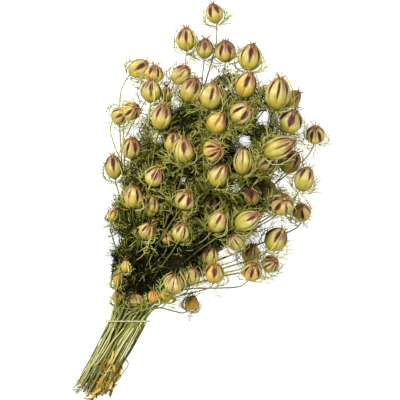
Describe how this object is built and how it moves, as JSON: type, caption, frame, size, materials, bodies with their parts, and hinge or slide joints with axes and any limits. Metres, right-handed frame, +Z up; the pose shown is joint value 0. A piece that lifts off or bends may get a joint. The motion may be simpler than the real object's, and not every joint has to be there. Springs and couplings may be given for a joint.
{
  "type": "dried nigella seed pod bunch",
  "caption": "Dried bunch of love-in-a-mist lying on its side: lobed, beaked seed pods and thread-like leaves on branching stems, tied with a thin strand.",
  "frame": {"origin": "middle of the bunch's underside, on the surface that it lies on", "axes": "+Y along the bunch from the cut ends to the seed heads, +Z up, +X to the right seen from above"},
  "size_m": [0.2324, 0.4044, 0.118],
  "materials": {
    "dried_nigella": "matte",
    "pale_strand": "matte"
  },
  "bodies": {
    "root": {"stem_01": "dried_nigella", "stem_02": "dried_nigella", "stem_03": "dried_nigella", "stem_04": "dried_nigella", "stem_05": "dried_nigella", "stem_06": "dried_nigella", "stem_07": "dried_nigella", "stem_08": "dried_nigella", "stem_09": "dried_nigella", "stem_10": "dried_nigella", "stem_11": "dried_nigella", "stem_12": "dried_nigella", "stem_13": "dried_nigella", "stem_14": "dried_nigella", "stem_15": "dried_nigella", "stem_16": "dried_nigella", "stem_17": "dried_nigella", "stem_18": "dried_nigella", "stem_19": "dried_nigella", "stem_20": "dried_nigella", "stem_21": "dried_nigella", "stem_22": "dried_nigella", "stem_23": "dried_nigella", "stem_24": "dried_nigella", "stem_25": "dried_nigella", "stem_26": "dried_nigella", "stem_27": "dried_nigella", "stem_28": "dried_nigella", "stem_29": "dried_nigella", "tie": "pale_strand"}
  },
  "joints": []
}
